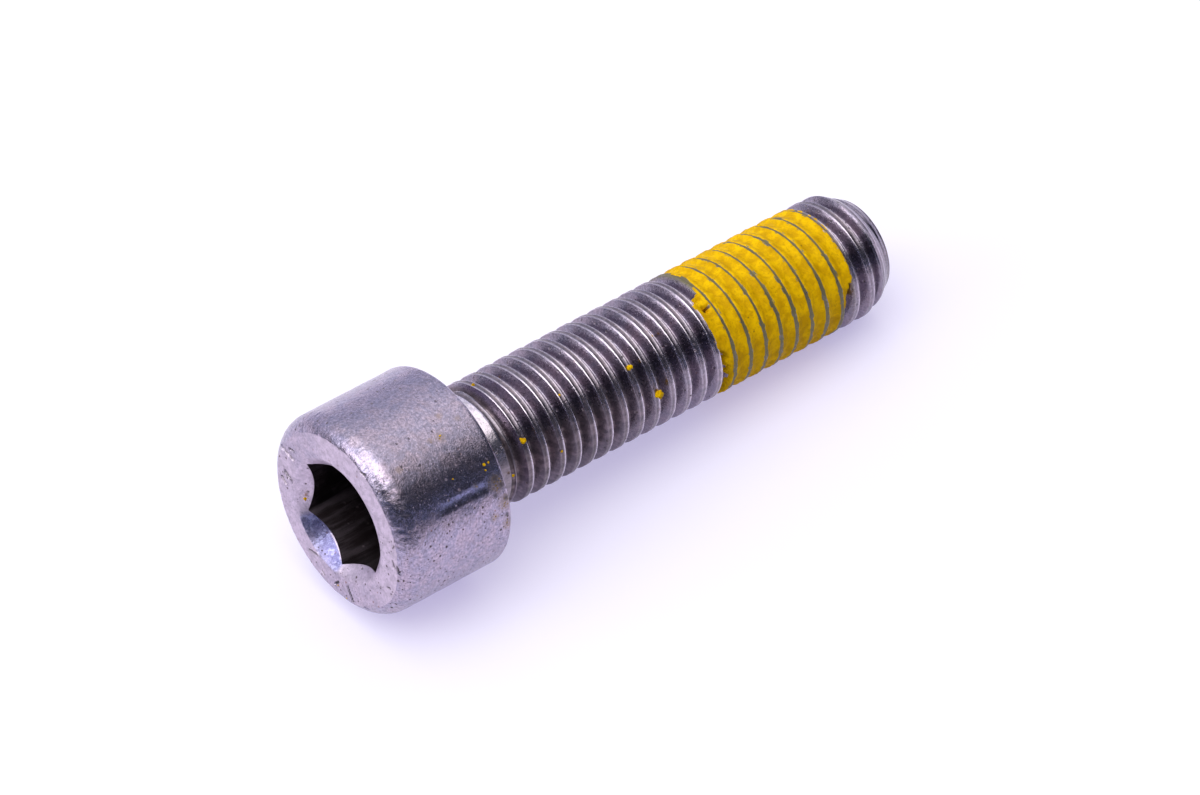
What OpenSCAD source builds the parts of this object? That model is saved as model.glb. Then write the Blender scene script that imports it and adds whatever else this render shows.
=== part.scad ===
// Hex socket cap screw, M10 x 1.5 x 40, with a dry locking coat in its last threads.
// It lies as it comes to rest: the rim of the head and one thread crest touch z = 0,
// the head is at -X and the tip at +X. Millimetres.

/* [Head] */
// Outside diameter of the head
head_d = 15.8; // [14:0.1:18]
// Height of the head, from its bearing face to its outer face
head_h = 9.75; // [8:0.05:12]
// How far the rounded edge of the outer face runs in from the side
edge_run = 1; // [0.6:0.05:1.3]
// Radius of that rounded edge
edge_round = 1.6; // [1.4:0.1:2.4]
// Radius of the small round beside the bearing face
back_round = 0.3; // [0.1:0.05:0.6]

/* [Socket] */
// Width of the hex socket across its flats
socket_af = 8.08; // [6:0.02:9]
// Depth of the six flats, from the outer face
socket_depth = 5.2; // [3:0.1:6]
// Included angle of the cone at the foot of the socket
foot_angle = 140; // [118:1:170]
// How much wider than the socket's corners the countersunk mouth is
mouth_extra = 0.57; // [0.1:0.01:1]
// Included angle of the mouth
mouth_angle = 90; // [80:1:120]
// How far the mouth was struck off the axis
mouth_shift = 0.3; // [0:0.01:0.4]
// The turn from upright in which it was
mouth_turn = 210; // [0:5:360]
// Turn of the socket from a corner upright
socket_turn = -1.3; // [-30:0.1:30]

/* [Shank] */
// Length from the bearing face to the tip
shank_l = 40; // [30:1:60]
// Diameter of the plain neck under the head
neck_d = 9.1; // [8.6:0.05:9.6]
// Length of the plain neck
neck_l = 1.4; // [1:0.1:4]
// Radius of the fillet between the neck and the bearing face
fillet_r = 0.5; // [0.2:0.05:0.8]
// Diameter of the end face of the tip
tip_d = 7.5; // [6:0.1:7.6]
// Length over which the thread runs down to the end face
tip_l = 1.9; // [1:0.1:3]

/* [Thread] */
// Diameter over the thread crests
thread_d = 9.85; // [9.7:0.01:10]
// Distance from one crest to the next
pitch = 1.5; // [1.2:0.05:1.6]
// Width of the flat on a crest
crest_w = 0.3; // [0.1:0.02:0.4]
// Length over which the thread rises from the neck to its full depth
run_out = 2.2; // [0.5:0.1:4]
// Distance from the bearing face to the first crest line, at the top of the shank
crest_start = 0.92; // [0:0.01:1.5]

/* [Locking coat] */
// Distance from the tip to the end of the coat
coat_from_tip = 5; // [3:0.1:8]
// Number of turns that the coat fills
coat_turns = 8.2; // [4:0.1:10]
// How far the coat lies below the thread crests
coat_below = 0.08; // [0.04:0.01:0.3]

/* [Hidden] */
steel_colour = [0.62, 0.58, 0.64];
coat_colour = [0.92, 0.74, 0.05];
eps = 0.01;

head_r = head_d / 2;
face_r = head_r - edge_run;
neck_r = neck_d / 2;
crest_r = thread_d / 2;
tip_r = tip_d / 2;
socket_corner_d = socket_af / cos(30);
mouth_d = socket_corner_d + mouth_extra;

// Section of one pitch of a 60 degree thread, from one crest to the next:
// the distance along the axis from the crest line, and the depth below the crest.
flank_depth = 0.5413 * pitch;
root_depth = 0.6134 * pitch;
flank_run = flank_depth * tan(30);
section = [
    [crest_w / 2, 0],
    [crest_w / 2 + flank_run, flank_depth],
    [pitch / 2, root_depth],
    [pitch - crest_w / 2 - flank_run, flank_depth],
    [pitch - crest_w / 2, 0]
];
rows = len(section);

// Columns of points in one turn. An even number puts one at the top and one at the bottom.
columns = 32;
fillet_steps = 3;
root_in_head = 1;

// The last crest under the shank that has its full height, and the tilt of the lying screw:
// a line that touches the round of the head's rim and that crest.
last_turn = floor((shank_l - tip_l - crest_w / 2 - crest_start) / pitch - 0.5);
touch_z = crest_start + pitch * (last_turn + 0.5) + crest_w / 2;
touch_run = touch_z + back_round;
touch_rise = head_r - back_round - crest_r;
tilt = asin(back_round / norm([touch_run, touch_rise])) + atan2(touch_rise, touch_run);
axis_height = touch_z * sin(tilt) + crest_r * cos(tilt);
box_min_x = -head_h * cos(tilt) - face_r * sin(tilt);
box_max_x = shank_l * cos(tilt) + tip_r * sin(tilt);

// A point at a radius, a turn and a distance along the axis. The turn starts at the top of the
// lying shank and goes towards -Y.
function at(r, turn, z) = [-r * cos(turn), -r * sin(turn), z];

// How much of its height the thread has, from 0 on the neck to 1 past the run-out.
function grown(z) = min(1, max(0, (z - neck_l) / run_out));

// Radius of the cone at the tip.
function tip_cone(z) = tip_r + (shank_l - z) * (crest_r - tip_r) / tip_l;

// Radius of the threaded surface where the section has a given depth.
function thread_r(z, depth) =
    min(neck_r + grown(z) * (crest_r - depth - neck_r), tip_cone(z));

// Distance along the axis of row q in column c, counted along the whole helix.
function helix_z(c, q) = crest_start + pitch * c / columns + section[q][0];

function helix_point(c, q) =
    at(thread_r(helix_z(c, q), section[q][1]), 360 * c / columns, helix_z(c, q));

// One face out of corner numbers, left out where two corners are the same point.
function face(a, b, c) = a == b || b == c || c == a ? [] : [[a, b, c]];
function quad(a, b, c, d) = concat(face(a, b, c), face(a, c, d));

// The head's section: a block with its two edges rounded.
module head_section() {
    edge_side = head_r - edge_round;
    edge_rise = sqrt(pow(edge_round, 2) - pow(edge_round - edge_run, 2));
    difference() {
        translate([0, -head_h]) square([head_r, head_h]);
        difference() {
            translate([face_r, -head_h - 1]) square([edge_run + 1, edge_rise + 1]);
            translate([edge_side, -head_h + edge_rise]) circle(r = edge_round, $fn = 96);
        }
        difference() {
            translate([head_r - back_round, -back_round]) square(back_round + 1);
            translate([head_r - back_round, -back_round]) circle(r = back_round, $fn = 48);
        }
    }
}

// The hex socket with its coned foot and the countersunk mouth.
module socket() {
    foot_h = socket_af / 2 / tan(foot_angle / 2);
    mouth_h = mouth_d / 2 / tan(mouth_angle / 2);
    translate([0, 0, -head_h]) {
        rotate([0, 0, socket_turn])
            translate([0, 0, -1]) cylinder(d = socket_corner_d, h = socket_depth + 1, $fn = 6);
        translate([0, 0, socket_depth - eps])
            cylinder(d1 = socket_af, d2 = 0, h = foot_h, $fn = 96);
        translate(at(mouth_shift, mouth_turn, 0)) {
            cylinder(d1 = mouth_d, d2 = 0, h = mouth_h, $fn = 96);
            translate([0, 0, -1]) cylinder(d = mouth_d, h = 1 + eps / 10, $fn = 96);
        }
    }
}

// Neck, thread and tip as one closed surface. It starts inside the head. The neck and its fillet
// are plain rings. Above them the columns follow the helix, and the ends are cut square.
module threaded_shank() {
    n = columns;
    rings = concat(
        [[neck_r + fillet_r, -root_in_head], [neck_r + fillet_r, 0]],
        [for (i = [1 : fillet_steps])
            let (a = 90 * i / fillet_steps)
            [neck_r + fillet_r * (1 - sin(a)), fillet_r * (1 - cos(a))]],
        [[neck_r, neck_l]]
    );
    top_ring = len(rings) - 1;
    end_ring = len(rings);
    first_c = -n * ceil((crest_start + pitch - neck_l) / pitch + 2);
    last_c = n * ceil((shank_l - crest_start) / pitch + 1);
    helix_start = (end_ring + 1) * n;

    function wrap(c) = c - n * floor(c / n);
    function number(c, q) =
        q == rows ? number(c + n, 0)
        : helix_z(c, q) <= neck_l + eps ? top_ring * n + wrap(c)
        : helix_z(c, q) >= shank_l - eps ? end_ring * n + wrap(c)
        : helix_start + (c - first_c) * rows + q;

    points = concat(
        [for (ring = rings) for (j = [0 : n - 1]) at(ring[0], 360 * j / n, ring[1])],
        [for (j = [0 : n - 1]) at(tip_r, 360 * j / n, shank_l)],
        [for (c = [first_c : last_c + n]) for (q = [0 : rows - 1]) helix_point(c, q)]
    );
    faces = concat(
        [[for (j = [0 : n - 1]) j]],
        [for (i = [0 : top_ring - 1]) for (j = [0 : n - 1])
            each quad(i * n + j, (i + 1) * n + j, (i + 1) * n + wrap(j + 1), i * n + wrap(j + 1))],
        [for (c = [first_c : last_c - 1]) for (q = [0 : rows - 1])
            each quad(number(c, q), number(c, q + 1), number(c + 1, q + 1), number(c + 1, q))],
        [[for (j = [0 : n - 1]) end_ring * n + n - 1 - j]]
    );
    polyhedron(points, faces, convexity = 10);
}

// Puts a screw that is drawn along +Z down on z = 0, its box centred on the origin.
module lying() {
    translate([-(box_min_x + box_max_x) / 2, 0, axis_height]) rotate([0, 90 + tilt, 0]) children();
}

module screw() {
    color(steel_colour) lying() {
        difference() {
            rotate_extrude($fn = 128) head_section();
            socket();
        }
        threaded_shank();
    }
}

// A band that fills the thread valley from flank to flank, on the thread's own points.
module locking_coat() {
    n = columns;
    to_root = pitch / 2 + crest_start;
    end_c = round((shank_l - coat_from_tip - to_root) / pitch * n);
    start_c = end_c - round(coat_turns * n);
    steps = end_c - start_c;
    outer_r = crest_r - coat_below;
    outer_run = crest_w / 2 + coat_below * tan(30);

    function outer_point(c, run) =
        at(outer_r, 360 * c / n, crest_start + pitch * c / n + run);
    function ring(c) = [
        outer_point(c, outer_run),
        helix_point(c, 1), helix_point(c, 2), helix_point(c, 3),
        outer_point(c, pitch - outer_run)
    ];
    sides = 5;
    points = [for (c = [start_c : end_c]) each ring(c)];
    faces = concat(
        [[for (s = [0 : sides - 1]) s]],
        [for (i = [0 : steps - 1]) for (s = [0 : sides - 1])
            let (t = (s + 1) % sides)
            each quad(i * sides + s, (i + 1) * sides + s, (i + 1) * sides + t, i * sides + t)],
        [[for (s = [0 : sides - 1]) (steps + 1) * sides - 1 - s]]
    );
    color(coat_colour) lying() polyhedron(points, faces, convexity = 10);
}

screw();
locking_coat();
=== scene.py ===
"""Looks of the hex socket cap screw, M10 x 1.5 x 40, with its dry locking coat.

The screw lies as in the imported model: the head at -X, the tip at +X. Shapes are worked out in
millimetres in the screw's own terms, which are the distance `along` the axis from the bearing
face, the radius, and the `turn` round the axis, 0 on top and growing towards -Y.
"""

import math

import bpy
import numpy as np
from mathutils import Matrix, Vector


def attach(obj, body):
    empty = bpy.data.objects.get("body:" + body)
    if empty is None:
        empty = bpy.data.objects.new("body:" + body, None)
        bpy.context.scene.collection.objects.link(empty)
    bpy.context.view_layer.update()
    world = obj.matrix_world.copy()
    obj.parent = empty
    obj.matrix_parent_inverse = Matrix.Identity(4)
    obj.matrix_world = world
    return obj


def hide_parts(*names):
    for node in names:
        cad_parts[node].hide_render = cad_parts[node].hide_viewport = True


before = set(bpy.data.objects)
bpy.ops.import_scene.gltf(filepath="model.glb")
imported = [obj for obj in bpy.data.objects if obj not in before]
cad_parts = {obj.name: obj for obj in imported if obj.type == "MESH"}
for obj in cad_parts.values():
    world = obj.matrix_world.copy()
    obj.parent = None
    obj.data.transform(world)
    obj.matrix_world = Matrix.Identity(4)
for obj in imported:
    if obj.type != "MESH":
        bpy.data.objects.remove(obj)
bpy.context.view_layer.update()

MM = 0.001

# The photograph is 1200 pixels wide, and its focal length was fitted in the same pixels.
PHOTO_WIDTH = 1200
FOCAL_LENGTH = 7142.5
SENSOR_WIDTH = 36.0
# From the centre of the bearing face to the camera, in mm, and the way that it looks.
CAMERA_FROM_SEAT = np.array([-218.473, -279.708, 375.975])
CAMERA_RIGHT = np.array([0.76799, -0.64046, 0.0])
CAMERA_FORWARD = np.array([0.44388, 0.53227, -0.72087])

# How the screw lies: the centre of its bearing face and its three directions.
TILT = math.radians(4.46385)
SEAT = np.array([-14.95654, 0.0, 7.8536])
ALONG = np.array([math.cos(TILT), 0.0, -math.sin(TILT)])
UP = np.array([math.sin(TILT), 0.0, math.cos(TILT)])
SIDE = np.array([0.0, -1.0, 0.0])

# Head and socket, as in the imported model.
HEAD_R = 7.9
HEAD_H = 9.75
EDGE_RUN = 1.0
EDGE_ROUND = 1.6
BACK_ROUND = 0.3
SOCKET_HALF = 4.04
SOCKET_DEPTH = 5.2
FOOT_SLOPE = 1 / math.tan(math.radians(70))
MOUTH_EXTRA = 0.57
MOUTH_R = (2 * SOCKET_HALF / math.cos(math.radians(30)) + MOUTH_EXTRA) / 2
MOUTH_SHIFT = 0.3
MOUTH_TURN = math.radians(210)
SOCKET_TURN = math.radians(-1.3)

# Shank and thread. The run-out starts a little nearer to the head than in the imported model.
SHANK_L = 40.0
ROOT_IN_HEAD = 1.0
NECK_R = 4.55
NECK_L = 1.0
FILLET_R = 0.5
CREST_R = 4.925
PITCH = 1.5
CREST_START = 0.92
RUN_OUT = 1.9
TIP_R = 3.75
TIP_L = 1.9
# The round on the end face's rim, and how far its middle lies below the rim.
TIP_RIM = 0.22
TIP_HOLLOW = 0.22

# Points round the axis: in the head, and in one turn of the thread and of the coat.
HEAD_COLUMNS = 480
SHANK_COLUMNS = 180
COAT_COLUMNS = 200
# Edges that turn by more than this are drawn crisp.
CRISP_EDGE = math.radians(17)

# Radii in the head: where its outer face is clear of the socket, and how far in the bearing
# face runs, which is inside the shank.
CLEAR_R = 4.6
BEARING_R = 4.0


def place(along, radius, turn):
    """Points in metres: seat + along * axis + radius * (cos turn * up + sin turn * side)."""
    along, radius, turn = np.broadcast_arrays(along, radius, turn)
    return MM * (
        SEAT
        + along[..., None] * ALONG
        + (radius * np.cos(turn))[..., None] * UP
        + (radius * np.sin(turn))[..., None] * SIDE
    )


def swell(points, size, seed, waves=14):
    """A smooth uneven field between about -1 and 1: the mean of sine waves whose length is about
    `size` mm and whose directions and phases are drawn at random."""
    draw = np.random.default_rng(seed)
    way = draw.normal(size=(waves, 3))
    way /= np.linalg.norm(way, axis=1, keepdims=True)
    length = size * draw.uniform(0.6, 1.7, waves)
    phase = draw.uniform(0, 2 * math.pi, waves)
    total = np.zeros(points.shape[:-1])
    for w, l, p in zip(way, length, phase):
        total += np.sin(points @ (w * 2 * math.pi / (l * MM)) + p)
    return total / math.sqrt(waves) * 0.8


def between(value, low, high):
    """0 below low, 1 above high, and the smooth step 3t^2 - 2t^3 between them."""
    t = np.clip((value - low) / (high - low), 0, 1)
    return t * t * (3 - 2 * t)


def plateau(value, low, full, fall, end):
    """0 below low and above end, 1 from full to fall, and smooth steps between."""
    return between(value, low, full) * (1 - between(value, fall, end))


def towards(turn, middle, low, high):
    """1 where a turn is near `middle` degrees, by the cosine of the angle between them."""
    return between(np.cos(turn - math.radians(middle)), low, high)


def with_poles(values, *poles):
    """The values of a grid in one row, then those of the poles."""
    return np.concatenate([values.ravel(), poles])


def outward(grid):
    """Unit normals of a grid of points whose columns close on themselves."""
    down = np.gradient(grid, axis=0)
    across = np.roll(grid, -1, axis=1) - np.roll(grid, 1, axis=1)
    normal = np.cross(across, down)
    return normal / np.maximum(np.linalg.norm(normal, axis=-1, keepdims=True), 1e-12)


def solid_from(name, points, triangles, material, **fields):
    """A smooth closed mesh from points and corner numbers. Triangles that have lost a side are
    left out, and the rest are turned outwards by the sign of the volume that they enclose."""
    t = triangles[
        (triangles[:, 0] != triangles[:, 1])
        & (triangles[:, 1] != triangles[:, 2])
        & (triangles[:, 2] != triangles[:, 0])
    ]
    used, t = np.unique(t, return_inverse=True)
    t = t.reshape(-1, 3)
    points = points[used]
    a, b, c = points[t[:, 0]], points[t[:, 1]], points[t[:, 2]]
    if np.einsum("ij,ij->", a, np.cross(b, c)) < 0:
        t = t[:, ::-1]
    mesh = bpy.data.meshes.new(name)
    mesh.vertices.add(len(points))
    mesh.vertices.foreach_set("co", points.astype(np.float32).ravel())
    mesh.loops.add(t.size)
    mesh.loops.foreach_set("vertex_index", t.astype(np.int32).ravel())
    mesh.polygons.add(len(t))
    mesh.polygons.foreach_set("loop_start", np.arange(0, t.size, 3, dtype=np.int32))
    mesh.update(calc_edges=True)
    for field, values in fields.items():
        layer = mesh.attributes.new(field, "FLOAT", "POINT")
        layer.data.foreach_set("value", values[used].astype(np.float32))
    mesh.shade_smooth()
    mesh.validate()
    piece = bpy.data.objects.new(name, mesh)
    bpy.context.scene.collection.objects.link(piece)
    mesh.materials.append(material)
    return piece


def quads(a, b, c, d):
    """Two triangles for each set of four corner numbers."""
    return np.concatenate(
        [
            np.stack([a.ravel(), b.ravel(), c.ravel()], axis=1),
            np.stack([a.ravel(), c.ravel(), d.ravel()], axis=1),
        ]
    )


def tube_triangles(rows, columns, first=0):
    """Triangles of a grid of rows whose columns close on themselves."""
    i = np.arange(rows - 1)[:, None] * columns + first
    j = np.arange(columns)[None]
    k = (j + 1) % columns
    return quads(i + j, i + k, i + columns + k, i + columns + j)


def pole_triangles(pole, first, columns):
    """A fan from one pole point to a ring of points."""
    j = np.arange(columns)
    return np.stack([np.full(columns, pole), first + j, first + (j + 1) % columns], axis=1)


class Wire:
    """An output socket of a node. Its sums and products with numbers or wires add Math nodes."""

    def __init__(self, nodes, socket):
        self.nodes, self.socket = nodes, socket

    def math(self, operation, *values):
        return self.nodes.math(operation, self, *values)

    def __add__(self, other):
        return self.math("ADD", other)

    __radd__ = __add__

    def __mul__(self, other):
        return self.math("MULTIPLY", other)

    __rmul__ = __mul__

    def __sub__(self, other):
        return self.math("SUBTRACT", other)

    def __rsub__(self, other):
        return self.nodes.math("SUBTRACT", other, self)

    def most(self, other):
        return self.math("MAXIMUM", other)

    def step(self, low, high):
        """0 below low, 1 above high, smooth between."""
        return self.nodes.add(
            "ShaderNodeMapRange",
            {"interpolation_type": "SMOOTHSTEP"},
            {"Value": self, "From Min": low, "From Max": high},
        )


class Nodes:
    """The node tree of a material or of the world."""

    def __init__(self, owner):
        owner.use_nodes = True
        self.tree = owner.node_tree
        self.tree.nodes.clear()

    def add(self, kind, settings=None, sockets=None, output=0):
        """Adds a node, sets its settings, then the values or wires of its sockets."""
        node = self.tree.nodes.new(kind)
        for name, value in (settings or {}).items():
            setattr(node, name, value)
        for name, value in (sockets or {}).items():
            if isinstance(value, Wire):
                self.tree.links.new(value.socket, node.inputs[name])
            else:
                node.inputs[name].default_value = value
        return Wire(self, node.outputs[output]) if node.outputs else None

    def math(self, operation, *values):
        return self.add("ShaderNodeMath", {"operation": operation}, dict(enumerate(values)))

    def vector(self, operation, *values, output=0, **sockets):
        named = dict(enumerate(values)) | sockets
        return self.add("ShaderNodeVectorMath", {"operation": operation}, named, output)

    def mix(self, share, first, second):
        """The first colour where share is 0 and the second where it is 1."""
        first, second = (c if isinstance(c, Wire) else (*c, 1) for c in (first, second))
        return self.add(
            "ShaderNodeMix",
            {"data_type": "RGBA"},
            {"Factor": share, 6: first, 7: second},
            2,
        )

    def in_mm(self):
        """The place on the piece in millimetres."""
        coordinates = self.add("ShaderNodeTexCoord", output="Object")
        return self.vector("SCALE", coordinates, Scale=1 / MM)

    def field(self, name):
        """A number that the mesh gives to each of its points, 0 where it gives none."""
        return self.add("ShaderNodeAttribute", {"attribute_name": name}, None, "Fac")

    def seen(self):
        """1 for what the camera sees directly, in gloss or through glass, and 0 for other light."""
        rays = self.add("ShaderNodeLightPath").socket.node.outputs
        camera, glossy, through = (
            Wire(self, rays[f"Is {kind} Ray"]) for kind in ("Camera", "Glossy", "Transmission")
        )
        return camera.most(glossy).most(through)

    def noise(self, where, size, detail=3.0, rough=0.55, stretch=0.0):
        """Noise between 0 and 1 with features of about `size` mm."""
        return self.add(
            "ShaderNodeTexNoise",
            None,
            {"Vector": where, "Scale": 1 / size, "Detail": detail, "Roughness": rough,
             "Distortion": stretch},
        )

    def specks(self, where, size, radius, seed=0.0):
        """Round specks of the given radius, one in each cell of about `size` mm, with soft rims."""
        shifted = self.vector("ADD", where, (seed, seed * 0.7, -seed))
        cell = {"Vector": shifted, "Scale": 1 / size, "Randomness": 1.0}
        distance = self.add("ShaderNodeTexVoronoi", None, cell)
        return 1 - distance.step(radius / size * 0.5, radius / size)

    def chance(self, where, size, share, seed=0.0):
        """1 in the given share of the cells that `specks` uses, and 0 in the rest."""
        shifted = self.vector("ADD", where, (seed, seed * 0.7, -seed))
        cell = {"Vector": shifted, "Scale": 1 / size, "Randomness": 1.0}
        colour = self.add("ShaderNodeTexVoronoi", None, cell, output=1)
        red = self.add("ShaderNodeSeparateColor", None, {0: colour})
        return red.math("LESS_THAN", share)

    def scattered(self, where, size, radius, share, seed):
        """Specks in the given share of the cells."""
        return self.specks(where, size, radius, seed) * self.chance(where, size, share, seed)

    def surface(self, height, sockets):
        """Ends a material in a Principled shader with a bump of the given height in mm."""
        relief = {"Strength": 1.0, "Distance": MM, "Height": height}
        bump = self.add("ShaderNodeBump", None, relief)
        shader = self.add("ShaderNodeBsdfPrincipled", None, sockets | {"Normal": bump})
        self.add("ShaderNodeOutputMaterial", None, {"Surface": shader})


def steel(name, blue, pink, foul, film, fresh, roughness, relief, salt):
    """Satin steel with a mauve tarnish between a bluish and a pinkish tone, mottled and grainy,
    with fine pits, brown specks, stains and grime. `foul` is the colour of thick grime and `film`
    of thin, `fresh` that of bright steel, `relief` how deep the grain is, and `salt` how far it
    lightens and darkens. The mesh says where the steel is fresh and bright, where it carries
    painted highlights and painted shade, where it is matte, rubbed smooth, pitted or cut, where it
    is grimy and where painted shade darkens it, where it carries a painted bluish reflection, where
    painted shade fills the socket, and where it is stained or smeared with coat."""
    material = bpy.data.materials.new(name)
    nodes = Nodes(material)
    where = nodes.in_mm()
    blotch = nodes.noise(where, 1.1, 4.0, 0.65, 0.4)
    mottle = nodes.noise(where, 0.20, 4.0, 0.7)
    grain = nodes.noise(where, 0.11, 3.0, 0.65)

    colour = nodes.mix(blotch.step(0.32, 0.68), blue, pink)
    colour = nodes.mix((1 - mottle.step(0.30, 0.52)) * 0.5, colour, [0.55 * c for c in blue])
    colour = nodes.mix(mottle.step(0.54, 0.72) * 0.5, colour, [1.5 * c for c in pink])
    # Fresh bright steel where the mesh says so. The same field also carries painted light: painted
    # highlights on the thread crests and at the countersink's edge, and painted shade on the outer
    # face and on the shank's lower side.
    fresh_and_painted_light = nodes.field("fresh_and_painted_light")
    worn = nodes.noise(where, 0.55, 5.0, 0.7)
    fresh = nodes.mix(worn.step(0.32, 0.62), [0.71 * c for c in fresh], fresh)
    colour = nodes.mix(fresh_and_painted_light * (0.75 + 0.25 * mottle.step(0.3, 0.6)), colour, fresh)
    # Painted bluish reflection on part of the countersink, veined by the worn noise.
    veined = nodes.mix(worn.step(0.50, 0.60), (0.15, 0.15, 0.33), (0.34, 0.35, 0.62))
    colour = nodes.mix(nodes.field("blue_reflection") * 0.85, colour, veined)
    shade = (grain.step(0.36, 0.64) - 0.5) * 0.8 + (mottle.step(0.34, 0.66) - 0.5) * 1.1
    shade = shade * (1 - 0.7 * fresh_and_painted_light)
    colour = nodes.vector("SCALE", colour, Scale=shade * salt + 1)

    pits = nodes.scattered(where, 0.62, 0.13, 0.36, 3.1)
    small_pits = nodes.scattered(where, 0.20, 0.045, 0.34, 7.7)
    rust = nodes.scattered(where, 0.8, 0.12, 0.20, 12.3)
    more = nodes.scattered(where, 0.38, 0.09, 0.42, 21.9)
    pitted = nodes.field("pitted")
    dark = pits.most(small_pits * 0.7).most(more * pitted) * (0.7 + 0.3 * pitted)
    colour = nodes.mix(dark * 0.9, colour, (0.05, 0.028, 0.032))
    colour = nodes.mix(rust * (0.35 + 0.35 * pitted), colour, (0.24, 0.11, 0.08))

    along = nodes.vector("DOT_PRODUCT", where, tuple(ALONG), output=1)
    streaked = nodes.vector("SCALE", tuple(-0.88 * ALONG), Scale=along)
    streaked = nodes.vector("ADD", where, streaked)
    streak = nodes.noise(streaked, 0.5, 4.0, 0.6)
    dirt_and_shade = nodes.mix(streak.step(0.38, 0.70), foul, film)
    # Painted shade in the socket: where the mesh gives it, the colour goes down to a quarter of the
    # thick grime's, mottled.
    socket_shade = nodes.field("socket_shade")
    pall = nodes.noise(where, 2.2, 3.0, 0.6).step(0.42, 0.60)
    dirt_and_shade = nodes.mix(socket_shade * (1 - 0.55 * pall), dirt_and_shade, [0.25 * c for c in foul])
    # Grime darkens the steel here. On the shank's lower side, the same field also carries painted
    # shade.
    grime_and_shade_field = nodes.field("grime_and_shade")
    grime_and_shade = (grime_and_shade_field + (mottle - 0.5) * 0.5 * grime_and_shade_field).step(0.15, 0.85)
    colour = nodes.mix(grime_and_shade, colour, dirt_and_shade)
    dots = nodes.specks(where, 0.26, 0.10, 33.3)
    stain = nodes.field("stain") * mottle.step(0.32, 0.48) * (0.35 + 0.65 * dots)
    colour = nodes.mix(stain, colour, (0.24, 0.145, 0.03))
    smear = nodes.field("smear") * mottle.step(0.25, 0.5)
    colour = nodes.mix(smear, colour, (0.17, 0.15, 0.075))
    cut = nodes.field("cut")
    colour = nodes.mix(cut, colour, (0.035, 0.028, 0.033))

    rubbed = nodes.field("rubbed")
    rough = roughness + (mottle - 0.5) * 0.2 + dark * 0.3 + grime_and_shade * 0.2 + smear * 0.3
    rough = rough + nodes.field("matte") * 0.25 - rubbed * 0.06
    height = (grain - 0.5) * 0.018 * relief + (mottle - 0.5) * 0.013 * relief
    height = height * (1 - 0.85 * rubbed) - pits * 0.02 - small_pits * 0.006 - rust * 0.008
    metal = 1 - dark * 0.5 - grime_and_shade * 0.15 - smear * 0.5 - stain * 0.5 - cut * 0.6
    nodes.surface(height, {"Base Color": colour, "Metallic": metal, "Roughness": rough})
    return material


def dry_coat():
    """Matte yellow coat with ochre blotches, fine grains and a few dark specks."""
    material = bpy.data.materials.new("dry_locking_coat")
    nodes = Nodes(material)
    where = nodes.in_mm()
    blotch = nodes.noise(where, 0.9, 4.0, 0.62, 0.5)
    mottle = nodes.noise(where, 0.25, 4.0, 0.65)
    colour = nodes.mix(blotch.step(0.35, 0.65), (0.60, 0.335, 0.001), (0.83, 0.505, 0.001))
    colour = nodes.mix((1 - mottle.step(0.28, 0.5)) * 0.5, colour, (0.40, 0.215, 0.002))
    specks = nodes.scattered(where, 0.8, 0.09, 0.14, 5.0)
    colour = nodes.mix(specks * 0.7, colour, (0.16, 0.10, 0.01))
    height = (mottle - 0.5) * 0.03 + (blotch - 0.5) * 0.03 - specks * 0.02
    rough = 0.55 + (mottle - 0.5) * 0.3
    nodes.surface(
        height, {"Base Color": colour, "Roughness": rough, "Specular IOR Level": 0.04}
    )
    return material


def make_camera():
    """The camera, as fitted to the outline, the crests and the socket's corners."""
    camera = bpy.data.objects.new("camera", bpy.data.cameras.new("camera"))
    bpy.context.scene.collection.objects.link(camera)
    up = np.cross(CAMERA_RIGHT, CAMERA_FORWARD)
    position = MM * (SEAT + CAMERA_FROM_SEAT)
    axes = np.stack([CAMERA_RIGHT, up, -CAMERA_FORWARD], axis=1)
    camera.matrix_world = Matrix.Translation(position) @ Matrix(axes.tolist()).to_4x4()
    camera.data.sensor_width = SENSOR_WIDTH
    camera.data.lens = SENSOR_WIDTH * FOCAL_LENGTH / PHOTO_WIDTH
    camera.data.clip_start, camera.data.clip_end = 0.01, 20
    bpy.context.scene.camera = camera


# Studio
def make_floor():
    """A white table. Past the sheet's front and left edges, what isn't the camera sees it dark."""
    half = 4.0
    mesh = bpy.data.meshes.new("floor")
    mesh.from_pydata(
        [(-half, -half, 0), (half, -half, 0), (half, half, 0), (-half, half, 0)], [], [(0, 1, 2, 3)]
    )
    floor = bpy.data.objects.new("floor", mesh)
    bpy.context.scene.collection.objects.link(floor)
    material = bpy.data.materials.new("white_table")
    nodes = Nodes(material)
    seen = nodes.seen()
    colour = nodes.mix(seen, (0.60, 0.58, 0.65), (0.95, 0.95, 0.90))
    sheet = nodes.add("ShaderNodeBsdfDiffuse", None, {"Color": colour})
    glow = nodes.add("ShaderNodeEmission", None, {"Color": (0.98, 0.90, 1.36, 1)})
    sheet = nodes.add("ShaderNodeMixShader", None, {0: seen * 0.42, 1: sheet, 2: glow})
    where = nodes.add("ShaderNodeTexCoord", output="Object")
    split = nodes.add("ShaderNodeSeparateXYZ", None, {0: where})
    x, y = (Wire(nodes, s) for s in split.socket.node.outputs[:2])
    camera = nodes.add("ShaderNodeLightPath", output="Is Camera Ray")
    past_sheet = (1 - y.step(-0.14, -0.09)).most(1 - x.step(-0.11, -0.07)) * (1 - camera)
    dim = nodes.add("ShaderNodeBsdfDiffuse", None, {"Color": (0.06, 0.06, 0.08, 1)})
    shader = nodes.add("ShaderNodeMixShader", None, {0: past_sheet, 1: sheet, 2: dim})
    nodes.add("ShaderNodeOutputMaterial", None, {"Surface": shader})
    mesh.materials.append(material)


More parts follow.
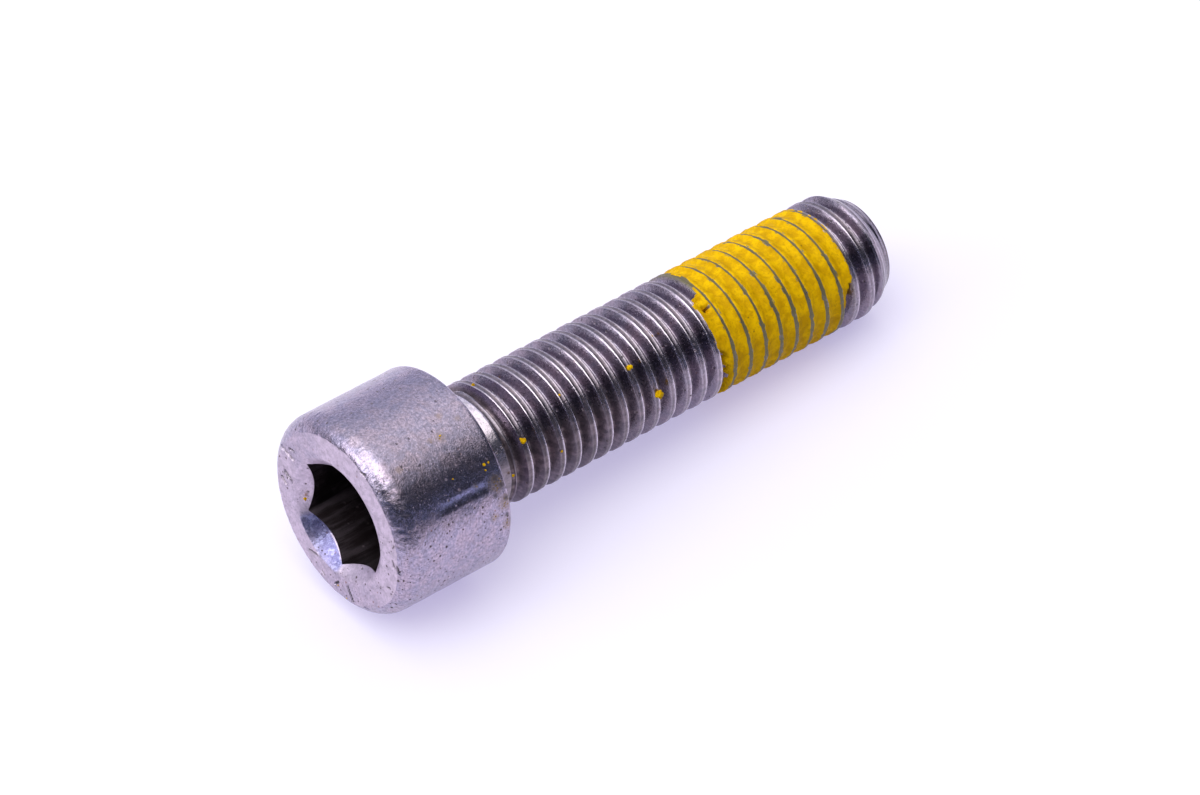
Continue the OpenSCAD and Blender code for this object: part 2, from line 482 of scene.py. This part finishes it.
def softbox(name, where, width, length, power):
    """An area lamp that faces the screw, its length in the upright plane through its middle."""
    lamp = bpy.data.lights.new(name, "AREA")
    lamp.shape = "RECTANGLE"
    lamp.size, lamp.size_y = width, length
    lamp.energy = power
    box = bpy.data.objects.new(name, lamp)
    bpy.context.scene.collection.objects.link(box)
    away = Vector(where)
    turned = away.to_track_quat("Z", "Y").to_matrix().to_4x4()
    box.matrix_world = Matrix.Translation(away) @ turned


def make_lights():
    """Two softboxes that meet, one overhead and one low on the left, and a room that is pale
    overhead and behind, and dark on the camera's side below about 45 degrees."""
    softbox("overhead", (-0.20, -0.045, 0.455), 0.34, 0.42, 0.85)
    softbox("left", (-0.44, 0.12, 0.22), 0.28, 0.30, 0.55)

    world = bpy.data.worlds.new("room")
    bpy.context.scene.world = world
    nodes = Nodes(world)
    way = nodes.add("ShaderNodeTexCoord", output="Generated")
    split = nodes.add("ShaderNodeSeparateXYZ", None, {0: way})
    x, y, z = (Wire(nodes, s) for s in split.socket.node.outputs)
    overhead = z.step(0.68, 0.80)
    front = 1 - y.step(-0.05, 0.22)
    behind = nodes.mix(x.step(-0.85, -0.35), (0.28, 0.28, 0.36), (0.58, 0.60, 0.77))
    behind = nodes.mix(z.step(0.10, 0.50), behind, (0.80, 0.82, 0.93))
    corner = (1 - x.step(-0.55, -0.30)) * z.step(0.14, 0.26)
    behind = nodes.mix(corner, behind, (1.25, 1.25, 1.40))
    low = nodes.mix(front, behind, (0.055, 0.062, 0.082))
    strip = front * z.step(0.153, 0.165) * (1 - z.step(0.176, 0.188)) * (1 - x.step(0.5, 0.8))
    low = nodes.mix(strip, low, (1.5, 1.75, 2.7))
    colour = nodes.mix(overhead, low, (1.4, 1.37, 1.37))
    lit = nodes.add("ShaderNodeBackground", None, {"Color": colour, "Strength": 1.0})
    white = nodes.add("ShaderNodeBackground", None, {"Color": (1, 1, 1, 1), "Strength": 1.0})
    seen = nodes.add("ShaderNodeLightPath", output="Is Camera Ray")
    shader = nodes.add("ShaderNodeMixShader", None, {0: seen, 1: lit, 2: white})
    nodes.add("ShaderNodeOutputWorld", None, {"Surface": shader})


# Head
# Gouges in the outer face and its edge: radius and turn of both ends, half width, depth, in mm.
GOUGES = [
    (6.95, -71, 5.6, -69, 0.17, 0.20), (6.3, -64, 5.9, -61, 0.14, 0.14),
    (6.1, -88, 5.7, -91, 0.22, 0.20), (6.45, -95, 6.0, -99, 0.16, 0.18),
    (5.5, -90, 5.25, -95, 0.13, 0.12), (5.0, -84, 4.85, -90, 0.12, 0.08),
    (6.0, -151, 5.5, -158, 0.15, 0.14), (6.3, -167, 6.45, -170, 0.12, 0.09),
    (5.9, 176, 6.3, 179, 0.14, 0.12), (5.7, 165, 6.85, 161, 0.17, 0.18),
    (6.35, 82, 6.5, 86, 0.13, 0.10), (6.8, 84, 7.0, 88, 0.14, 0.12),
    (7.05, 130, 7.2, 127, 0.14, 0.10), (7.0, 150, 7.15, 147, 0.15, 0.12),
    (6.9, 19, 7.1, 23, 0.16, 0.10), (6.2, 110, 6.4, 108, 0.12, 0.07),
]
# Stains on the side of the head: distance along, turn, reach in mm.
STAINS = [
    (-0.9, 60, 1.0), (-0.5, 72, 0.9), (-0.4, 86, 0.7), (-1.6, 78, 0.5), (-3.3, 25, 0.55),
    (-2.4, 14, 0.35), (-7.6, 30, 0.40), (-2.6, 56, 0.3), (-4.2, 24, 0.3), (-1.3, 20, 0.3),
]
# Dark brown dirt on the side, in the same terms.
SOOT = [(-0.9, 57, 0.5), (-0.5, 62, 0.4), (-1.2, 66, 0.3), (-0.35, 70, 0.35), (-0.5, 80, 0.3)]
# Small bright nicks on the side: distance along and turn.
TICKS = [(-3.07, 35.7)]


def head_piece(material):
    """The head and its socket as one closed surface of rings round the axis: the foot cone, the
    flats of the hex, the countersunk mouth, the outer face, its rounded edge, the side, the small
    back round and the bearing face. The flats' radius is half the width over the cosine of the
    turn from the middle of a flat. The mouth's depth is its radius less the distance from its
    shifted centre, and it meets the face in half the sum of the two and the root of the squared
    gap and a squared softness."""
    columns = HEAD_COLUMNS
    turn = SOCKET_TURN + 2 * math.pi * np.arange(columns) / columns
    sixth = math.pi / 3
    flat = SOCKET_HALF / np.cos((turn - SOCKET_TURN) % sixth - sixth / 2)
    foot = -HEAD_H + SOCKET_DEPTH

    wavy = np.array([0.03 * math.sin(3 * a + 1) + 0.02 * math.sin(7 * a) for a in turn])
    face_along = -HEAD_H + 0.5 * wavy
    degrees = np.degrees(turn)
    crisp = plateau(degrees, 176, 181, 232, 240)
    soft = 0.30 - 0.24 * crisp

    def mouth_along(radius):
        off = np.sqrt(
            radius**2 + MOUTH_SHIFT**2 - 2 * radius * MOUTH_SHIFT * np.cos(turn - MOUTH_TURN)
        )
        cone = -HEAD_H + MOUTH_R - off
        return (cone + face_along + np.sqrt((cone - face_along) ** 2 + soft**2) - 0.1 * soft) / 2

    cosine = np.cos(turn - MOUTH_TURN)
    mouth = MOUTH_SHIFT * cosine + np.sqrt(MOUTH_R**2 - (MOUTH_SHIFT * (1 - cosine**2) ** 0.5) ** 2)

    rows = []

    def ring(along, radius, grime_and_shade=0.0, fresh_and_painted_light=0.0, matte=0.0, blue_reflection=0.0, socket_shade=0.0):
        values = (along, radius, grime_and_shade, fresh_and_painted_light, matte, blue_reflection, socket_shade)
        rows.append([np.broadcast_to(v, columns).astype(float) for v in values])

    # Painted shade in the socket: it is darker towards the foot and on the left and lower walls.
    left_wall = plateau(degrees, 236, 242, 296, 302)
    lower_wall = plateau(degrees, 116, 121, 176, 182)
    wall_shade = 0.9 * left_wall + 0.7 * lower_wall
    for t in np.linspace(0.06, 1, 12):
        ring(foot + (1 - t) * SOCKET_HALF * FOOT_SLOPE, t * SOCKET_HALF, 1.0, socket_shade=1.0)
    ring(foot, SOCKET_HALF + 0.7 * (flat - SOCKET_HALF), 1.0, socket_shade=1.0)
    ring(foot, flat, 1.0, socket_shade=1.0)
    top = mouth_along(flat)
    for t in np.linspace(0.02, 0.99, 18):
        ring(foot + t * (top - foot), flat, 1.0 - 0.2 * t**8, socket_shade=np.maximum(wall_shade, 1 - 1.6 * t))
    # Painted highlight: a thin bright sliver along the countersink's inner edge, at turns 179 to
    # 216 degrees.
    highlight_sliver = plateau(degrees, 179, 184, 205, 216)
    for t in (0, 0.05, 0.09, 0.2, 0.35, 0.5, 0.65, 0.78, 0.89, 1):
        radius = flat + t * (mouth - flat)
        # Painted bluish reflection on the countersink between turns 176 and 240 degrees, where the
        # steel is less bright.
        dull = crisp * (1 - highlight_sliver * (1 - between(np.array(t), 0.04, 0.10)))
        grime_and_shade = 0.35 * (1 - t) ** 3 * (1 - 0.9 * crisp)
        matte, blue_reflection = 0.9 - 0.5 * crisp, dull * (1 - 0.5 * t**3)
        ring(mouth_along(radius), radius, grime_and_shade, 0.8 - 0.6 * dull, matte, blue_reflection)
    arc_side = HEAD_R - EDGE_ROUND
    arc_along = -HEAD_H + math.sqrt(EDGE_ROUND**2 - (EDGE_ROUND - EDGE_RUN) ** 2)
    open_angle = np.arccos((arc_along - face_along) / EDGE_ROUND)
    face_r = arc_side + EDGE_ROUND * np.sin(open_angle)
    # Painted shade on the outer face: it is darker towards turns 308, 155 and 225 degrees.
    shaded = 1 - 0.55 * towards(turn, 308, 0.85, 0.97)
    shaded = shaded - 0.40 * towards(turn, 155, 0.75, 0.95)
    shaded = shaded - 0.22 * towards(turn, 225, 0.5, 0.9)
    for t in np.linspace(0.02, 1, 24):
        radius = mouth + t * (face_r - mouth)
        meets = 1 - between(np.array(t), 0.7, 1.0)
        ring(face_along + meets * (mouth_along(radius) - face_along), radius, 0.0, shaded, 0.8)
    for t in np.linspace(0.03, 1, 16):
        a = open_angle + t * (math.pi / 2 - open_angle)
        ring(arc_along - EDGE_ROUND * np.cos(a), arc_side + EDGE_ROUND * np.sin(a))
    for t in np.linspace(0, 1, 48)[1:]:
        ring(arc_along + t * (-BACK_ROUND - arc_along), HEAD_R)
    for a in np.linspace(0, math.pi / 2, 6)[1:]:
        ring(-BACK_ROUND * (1 - math.sin(a)), HEAD_R - BACK_ROUND * (1 - math.cos(a)))
    for r in np.linspace(HEAD_R - BACK_ROUND, BEARING_R, 10)[1:]:
        ring(0.0, r, 0.3)

    along, radius, grime_and_shade, fresh_and_painted_light, matte, blue_reflection, socket_shade = np.array(rows).transpose(1, 0, 2)
    grid = place(along, radius, turn)
    normal = outward(grid)
    outer = (radius > CLEAR_R) * (along < -0.2)
    degrees = degrees + 0 * along
    rubbed = plateau(-along, 1.2, 2.0, 5.2, 7.2) * (radius > HEAD_R - 0.01)
    rubbed = rubbed * (1 - between(np.abs(degrees - 57.5), 3.5, 7.0))
    pitted = plateau(degrees, 58, 68, 200, 230) * outer
    pitted = np.maximum(pitted, 0.3 * (along < -HEAD_H + 0.3) * (radius > CLEAR_R))
    edge = between(-along, HEAD_H - 2.0, HEAD_H - 1.4) * (radius > 6.6)
    relief = 0.008 * swell(grid, 2.2, 5) + (0.004 + 0.008 * edge) * swell(grid, 0.55, 6)
    front = between(-along, HEAD_H - 1.2, HEAD_H - 0.9) * (radius > 4.3)
    cut = np.zeros(along.shape)
    for r1, turn1, r2, turn2, wide, deep in GOUGES:
        a, b = place(np.array([-HEAD_H]), np.array([r1, r2]), np.radians([turn1, turn2])) / MM
        share = np.clip((grid / MM - a) @ (b - a) / ((b - a) @ (b - a)), 0, 1)
        away = np.linalg.norm(grid / MM - a - share[..., None] * (b - a), axis=-1) / wide
        hollow = np.clip(1 - away**2, 0, 1) ** 1.5
        lip = np.clip(1 - ((away - 1.25) / 0.5) ** 2, 0, 1)
        relief = relief - front * deep * (hollow - 0.18 * lip)
        cut = np.maximum(cut, front * np.clip(2.0 * hollow - 0.7, 0, 1))
    relief = relief * (1 - 0.9 * rubbed)
    grid = grid + normal * (relief * outer)[..., None] * MM

    def from_spot(along, turn):
        """Distance in mm of each point from a place on the head's side."""
        spot = place(np.array(along), np.array(HEAD_R), np.radians(turn))
        return np.linalg.norm(grid - spot, axis=-1) / MM

    stain = np.zeros(along.shape)
    for a, t, reach in STAINS:
        stain = np.maximum(stain, 1 - between(from_spot(a, t), 0.3 * reach, reach))
    for a, t, reach in SOOT:
        cut = np.maximum(cut, 0.8 * (1 - between(from_spot(a, t), 0.1 * reach, reach)))
    for a, t in TICKS:
        away = np.minimum(from_spot(a - 0.02, t), from_spot(a + 0.02, t))
        fresh_and_painted_light = np.maximum(fresh_and_painted_light, 1 - between(away, 0.06, 0.14))
    first = place(np.array([foot + SOCKET_HALF * FOOT_SLOPE]), np.array([0.0]), np.array([0.0]))
    last = place(np.array([0.0]), np.array([0.0]), np.array([0.0]))
    count = len(along) * columns
    points = np.concatenate([grid.reshape(-1, 3), first, last])
    triangles = np.concatenate(
        [
            tube_triangles(len(along), columns),
            pole_triangles(count, 0, columns)[:, ::-1],
            pole_triangles(count + 1, count - columns, columns),
        ]
    )
    fields = {
        "grime_and_shade": with_poles(grime_and_shade, 1.0, 0.3),
        "fresh_and_painted_light": with_poles(fresh_and_painted_light, 0.0, 0.0),
        "matte": with_poles(matte, 0.0, 0.0),
        "blue_reflection": with_poles(blue_reflection, 0.0, 0.0),
        "socket_shade": with_poles(socket_shade, 1.0, 0.0),
        "rubbed": with_poles(rubbed, 0.0, 0.0),
        "pitted": with_poles(pitted, 0.0, 0.0),
        "stain": with_poles(stain, 0.0, 0.0),
        "cut": with_poles(cut, 0.0, 0.0),
    }
    piece = solid_from("head", points, triangles, material, **fields)
    piece.data.set_sharp_from_angle(angle=CRISP_EDGE)
    return piece


# Shank
# One pitch of the thread, from a crest line to the next: distance along and depth below the
# crest. A rolled crest has two lips with a shallow groove between them.
SECTION = np.array(
    [
        (0.00, 0.05), (0.11, 0.038), (0.185, 0.0), (0.225, 0.012), (0.265, 0.065), (0.29, 0.112),
        (0.41, 0.325), (0.56, 0.602), (0.65, 0.757), (0.75, 0.806), (0.85, 0.757), (0.94, 0.602),
        (1.09, 0.325), (1.21, 0.112), (1.235, 0.065), (1.275, 0.012), (1.315, 0.0), (1.39, 0.038),
    ]
)


def thread_radius(along, depth):
    """Radius of the thread: the crest's less the section's depth, grown from the plain neck over
    the run-out and cut by the cone of the tip. The lesser of the two radii is taken softly, as
    the cone less half of their gap and of the root of the squared gap and a squared softness."""
    grown = np.clip((along - NECK_L) / RUN_OUT, 0, 1)
    cone = TIP_R + (SHANK_L - along) * (CREST_R - TIP_R) / TIP_L
    plain = NECK_R + grown * (CREST_R - depth - NECK_R)
    soft = 0.06
    gap = cone - plain
    return cone - 0.5 * (gap + np.sqrt(gap * gap + soft * soft))


# The first crest is not closed: the neck runs on into its near lip, and the far lip is thin.
# Distance past the crest line, and radius.
OPEN_CREST = np.array(
    [(-2.0, 4.57), (-0.9, 4.57), (-0.04, 4.60), (0.03, 4.57), (0.10, 4.51), (0.30, 4.50),
     (0.38, 4.60), (0.42, 4.68), (0.46, 4.68), (0.50, 4.60), (0.60, 4.40)]
)


def shank_piece(material):
    """Neck, thread and tip as one closed surface. The rows of the thread follow the helix, a
    pitch further on at each turn, so every crest is a row of points."""
    columns, rows = SHANK_COLUMNS, len(SECTION)
    neck = [(-ROOT_IN_HEAD, NECK_R + FILLET_R), (0.0, NECK_R + FILLET_R)]
    neck += [
        (FILLET_R * (1 - math.cos(a)), NECK_R + FILLET_R * (1 - math.sin(a)))
        for a in np.linspace(0, math.pi / 2, 6)[1:]
    ]
    neck += [(z, NECK_R) for z in np.linspace(FILLET_R, NECK_L, 7)[1:]]
    stop = SHANK_L - TIP_RIM
    rim_r = TIP_R + TIP_RIM * (CREST_R - TIP_R) / TIP_L - 0.01
    end = [(stop, rim_r)]
    end += [
        (stop + TIP_RIM * math.sin(a), rim_r - TIP_RIM * (1 - math.cos(a)))
        for a in np.linspace(0, math.pi / 2, 6)[1:]
    ]
    end += [
        (SHANK_L - TIP_HOLLOW * between(TIP_R - r, 0.2, 1.6), r) for r in np.linspace(3.4, 0.3, 9)
    ]
    column_turn = 2 * math.pi * np.arange(columns) / columns
    neck_grid = np.array([place(a, r, column_turn) for a, r in neck])
    end_grid = np.array([place(a, r, column_turn) for a, r in end])

    first = -columns * 3
    last = columns * math.ceil((SHANK_L - CREST_START) / PITCH + 1)
    c = np.arange(first, last + 1)[:, None]
    along = CREST_START + PITCH * c / columns + SECTION[None, :, 0]
    turn = 2 * math.pi * c / columns
    depth = SECTION[None, :, 1] + 0 * along
    radius = thread_radius(along, depth)
    facing = (np.degrees(turn) + 180) % 360 - 180
    past = along - (CREST_START + PITCH * (1 + facing / 360)) - 0.06 * (1 - facing / 30)
    open_crest = plateau(facing, -50, -20, 110, 150)
    open_crest = open_crest * (1 - between(past, 0.46, 0.60))
    radius = radius + open_crest * (np.interp(past, *OPEN_CREST.T) - radius)
    low = towards(turn, 100, 0.25, 0.75)
    radius = radius + 0.03 * low * (depth < 0.045) * (along > 4) * (depth > 0.02)
    thread = place(along, radius, turn)
    uneven = 0.010 * swell(thread, 0.9, 21) + 0.006 * swell(thread, 0.3, 22)
    on_crest = 1 - between(depth, 0.05, 0.4)
    radius = radius + uneven * (0.35 + 0.65 * on_crest) * (along > NECK_L) * (along < stop)
    thread = place(along, radius, turn)

    from_crest = np.minimum(SECTION[:, 0], PITCH - SECTION[:, 0])[None]
    # Painted shade: the lower side, towards turn 100 degrees, gets darker grime and dimmer crests,
    # less so from 10 to 22 mm along.
    underside_shade = towards(turn, 100, 0.35, 0.85)
    underside_shade = underside_shade * (1 - 0.5 * between(along, 10, 22))
    dirt_and_shade = 0.55 * (1 - between(from_crest, 0.10, 0.16)) * (1 - 0.8 * low) + 0.60 * underside_shade
    dirt_and_shade = dirt_and_shade + 0.25 * between(depth, 0.7, 0.81)
    dirt_and_shade = np.maximum(dirt_and_shade, 0.7 * between(depth, 0.05, 0.2) * (1 - between(along, 3.2, 3.8)))
    # Painted highlight: the crests are brightest towards turn 24 degrees, and this fades between 35
    # and 37 mm along.
    lit = 0.4 + 0.6 * towards(turn, 24, 0.88, 0.98)
    fresh_and_painted_light = (1 - between(depth, 0.01, 0.035)) * (1 - 0.8 * underside_shade) * lit
    # Painted highlight on the lower side, towards turn 100 degrees: one lip of each crest is
    # brighter and less grimy, and the crest groove there also has less grime.
    lower_crest_highlight = low * plateau(SECTION[:, 0], 0.08, 0.15, 0.22, 0.27)
    fresh_and_painted_light = np.maximum(fresh_and_painted_light, 0.75 * lower_crest_highlight)
    fresh_and_painted_light = fresh_and_painted_light * (1 - 0.45 * between(along, 35, 37))
    dirt_and_shade = dirt_and_shade * (1 - 0.8 * lower_crest_highlight)
    lip = plateau(past, 0.33, 0.39, 0.46, 0.50)
    gap = plateau(past, 0.02, 0.08, 0.32, 0.38)
    shiny = np.maximum(1 - between(past, -0.02, 0.06), 0.8 * lip) * (1 - 0.6 * underside_shade)
    fresh_and_painted_light = fresh_and_painted_light + open_crest * (shiny - fresh_and_painted_light)
    dirt_and_shade = dirt_and_shade + open_crest * (0.05 + 0.5 * gap + 0.5 * underside_shade - dirt_and_shade)
    smear = plateau(along, 22.4, 23.2, 35.2, 35.7)
    smear = smear * (1 - between(depth, 0.03, 0.2))

    neck_count, end_count = neck_grid.shape[0] * columns, end_grid.shape[0] * columns
    helix_start = neck_count + end_count
    wrapped = np.broadcast_to(c % columns, along.shape)
    number = helix_start + (c - first) * rows + np.arange(rows)[None]
    number = np.where(along <= NECK_L + 1e-6, neck_count - columns + wrapped, number)
    number = np.where(along >= stop - 1e-6, neck_count + wrapped, number)
    ahead = number[columns:, :1]
    number = np.concatenate([number[: len(ahead)], ahead], axis=1)
    thread_triangles = quads(
        number[:-1, :-1], number[:-1, 1:], number[1:, 1:], number[1:, :-1]
    )
    poles = place(np.array([-ROOT_IN_HEAD, SHANK_L - TIP_HOLLOW]), np.zeros(2), np.zeros(2))
    points = np.concatenate(
        [neck_grid.reshape(-1, 3), end_grid.reshape(-1, 3), thread.reshape(-1, 3), poles]
    )
    pole = len(points) - 2
    triangles = np.concatenate(
        [
            tube_triangles(len(neck), columns)[:, ::-1],
            tube_triangles(len(end), columns, neck_count)[:, ::-1],
            thread_triangles,
            pole_triangles(pole, 0, columns),
            pole_triangles(pole + 1, helix_start - columns, columns)[:, ::-1],
        ]
    )

    def field(on_neck, on_end, on_thread, *on_poles):
        """One number for the neck, one for the end, one for each thread point and each pole."""
        ends = np.repeat([on_neck, on_end], [neck_count, end_count])
        return np.concatenate([ends, on_thread.ravel(), on_poles])

    fields = {
        "grime_and_shade": field(0.1, 0.5, dirt_and_shade, 0.0, 0.5),
        "fresh_and_painted_light": field(1.0, 0.0, fresh_and_painted_light, 0.0, 0.0),
        "smear": field(0.0, 0.0, smear, 0.0, 0.0),
    }
    return solid_from("threaded_shank", points, triangles, material, **fields)


# Locking coat
# Where it starts and where it ends: turn, and distance along.
START_EDGE = np.array(
    [(-180, 23.4), (-45, 23.5), (0, 23.35), (8, 23.0), (15, 22.7), (18, 22.1), (58, 22.2),
     (63, 22.5), (70, 23.0), (110, 23.5), (180, 23.4)]
)
END_EDGE = np.array(
    [(-180, 34.6), (-90, 35.1), (-50, 35.5), (50, 35.65), (66, 35.4), (75, 35.0), (88, 34.4),
     (120, 34.2), (180, 34.6)]
)
# The middles of a hole near its start and of a chip near its end: distance along, and turn.
HOLE = (23.0, 25)
CHIP = (32.6, 65)
# Radius of the band's foot, inside the steel.
FOOT_R = CREST_R - 1.15


def coat_piece(material):
    """A band that lies in the thread valley. Across it runs from crest to crest, and its height
    is the filled level where the coat is present and just below the steel where it is not. The
    two ends of the coat are distances along the screw that change with the turn. The end caps
    are fans round the middle point of the foot, which sees the whole section."""
    columns = COAT_COLUMNS
    across = np.array([-0.02, 0.06, 0.12, 0.18, 0.25, 0.34, 0.44, 0.56, 0.66, 0.75])
    across = np.concatenate([across, (PITCH - across[:-1])[::-1]])
    c = np.arange(int(13.4 * columns), int(23.6 * columns) + 1)[:, None]
    along = CREST_START + PITCH * c / columns + across[None]
    turn = 2 * math.pi * c / columns
    offset = np.abs(across) % PITCH
    depth = np.interp(offset, np.append(SECTION[:, 0], PITCH), np.append(SECTION[:, 1], 0.05))
    steel_r = thread_radius(along, depth[None] + 0 * along)
    spot = place(along, steel_r, turn)
    degrees = (np.degrees(turn) + 180) % 360 - 180 + 0 * along
    ragged = 0.16 * swell(spot, 0.8, 31) + 0.08 * swell(spot, 0.3, 32)
    inside = np.minimum(
        along - np.interp(degrees, *START_EDGE.T), np.interp(degrees, *END_EDGE.T) - along
    )
    presence = between(inside + ragged, -0.06, 0.10)
    hole = np.hypot(along - HOLE[0], (degrees - HOLE[1]) * math.pi / 180 * CREST_R)
    presence = presence * between(hole + 0.5 * ragged, 0.18, 0.36)
    chip = np.hypot(along - CHIP[0], (degrees - CHIP[1]) * math.pi / 180 * CREST_R)
    presence = presence * between(chip + 0.4 * ragged, 0.12, 0.24)
    from_crest = np.minimum(offset, PITCH - offset)
    bare = 0.055 + 0.03 * plateau(degrees, 35, 70, 120, 150)
    bare = bare + 0.025 * swell(spot, 1.3, 33) + 0.015 * swell(spot, 0.4, 34)
    filled = between(from_crest[None], bare, bare + 0.09)
    level = CREST_R + 0.02 - 0.19 * between(from_crest[None], 0.12, 0.7)
    level = level + 0.018 * swell(spot, 0.8, 35) + 0.010 * swell(spot, 0.3, 36)
    sunk = steel_r - 0.05
    radius = sunk + (np.maximum(level, sunk) - sunk) * presence * filled
    grid = place(along, radius, turn)
    inner = place(along[:, [-1, len(across) // 2, 0]], FOOT_R + 0 * along[:, :3], turn)
    ring = np.concatenate([grid, inner], axis=1)
    keep = (along.max(axis=1) > 21.4) & (along.min(axis=1) < 36.4)
    ring = ring[keep]
    length, wide = ring.shape[:2]
    points = ring.reshape(-1, 3)
    i = np.arange(length - 1)[:, None] * wide
    j = np.arange(wide)[None]
    k = (j + 1) % wide
    sides = quads(i + j, i + k, i + wide + k, i + wide + j)
    hub = wide - 2
    cap = np.array([n for n in range(wide) if hub not in (n, (n + 1) % wide)])
    after = (cap + 1) % wide
    caps = np.concatenate(
        [
            np.stack([hub + 0 * cap, after, cap], axis=1),
            np.stack([hub + 0 * cap, cap, after], axis=1) + (length - 1) * wide,
        ]
    )
    return solid_from("coat_band", points, np.concatenate([sides, caps]), material)


# Crumbs on the side of the head and on the shank: distance along, turn, size in mm.
CRUMBS = [
    (3.75, -18, 0.12), (4.1, 52, 0.24), (8.5, 32, 0.09), (14.75, 39, 0.20), (16.4, 73, 0.30),
    (2.6, 77, 0.11), (18.0, 23, 0.09), (7.1, 78, 0.09), (5.8, -27, 0.08), (-1.3, 48, 0.10),
    (-0.9, 48, 0.07), (-1.35, 51, 0.06), (-3.3, 24, 0.07), (-4.1, 47, 0.05),
]
# Crumbs on the outer face and its countersink: radius, turn, depth below the face, size in mm.
FACE_CRUMBS = [(4.43, 252, 0.42, 0.12), (6.9, 168, 0.05, 0.07), (6.2, 176, 0.0, 0.06)]


def crumb_piece(material):
    """Small lumps of coat that stick to the steel: spheres whose radius swells and sinks."""
    rows, columns = 12, 20
    down = np.linspace(0, math.pi, rows + 2)[1:-1, None]
    around = 2 * math.pi * np.arange(columns)[None] / columns
    ball = np.stack(
        [np.sin(down) * np.cos(around), np.sin(down) * np.sin(around), np.cos(down) + 0 * around],
        axis=-1,
    )
    poles = np.array([[0, 0, 1.0], [0, 0, -1.0]])
    unit = np.concatenate([ball.reshape(-1, 3), poles])
    count = rows * columns
    faces = np.concatenate(
        [
            tube_triangles(rows, columns),
            pole_triangles(count, 0, columns)[:, ::-1],
            pole_triangles(count + 1, count - columns, columns),
        ]
    )
    centres = []
    for along, turn, size in CRUMBS:
        if along < 0:
            surface = HEAD_R
        else:
            offset = (along - CREST_START - PITCH * turn / 360) % PITCH
            depth = np.interp(offset, SECTION[:, 0], SECTION[:, 1])
            surface = float(thread_radius(np.array(along), np.array(depth)))
        centre = place(np.array(along), np.array(surface + 0.15 * size), np.radians(turn))
        centres.append((centre, size))
    for radius, turn, sunk, size in FACE_CRUMBS:
        centre = place(np.array(-HEAD_H + sunk), np.array(radius), np.radians(turn))
        centres.append((centre, size))
    points, triangles = [], []
    for i, (centre, size) in enumerate(centres):
        lump = 1 + 0.30 * swell(unit * MM + centre, 1.1, 50 + i)
        points.append(centre + unit * (size * MM) * lump[:, None])
        triangles.append(faces + i * len(unit))
    return solid_from(
        "coat_crumbs", np.concatenate(points), np.concatenate(triangles), material
    )


make_camera()
make_floor()
make_lights()

head_steel = steel(
    "tarnished_steel", (0.34, 0.31, 0.425), (0.43, 0.355, 0.445), (0.055, 0.040, 0.044),
    (0.19, 0.155, 0.18), (0.64, 0.54, 0.65), 0.19, 1.0, 0.24,
)
thread_steel = steel(
    "rolled_thread_steel", (0.27, 0.245, 0.31), (0.31, 0.255, 0.31), (0.075, 0.058, 0.064),
    (0.24, 0.185, 0.20), (0.90, 0.80, 0.90), 0.19, 0.6, 0.20,
)
coat = dry_coat()

head = head_piece(head_steel)
shank = shank_piece(thread_steel)
for piece in (head, shank):
    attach(piece, "root")
    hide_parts("screw")

band = coat_piece(coat)
crumbs = crumb_piece(coat)
for piece in (band, crumbs):
    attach(piece, "root")
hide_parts("locking_coat")

bpy.context.scene.view_settings.view_transform = "Standard"
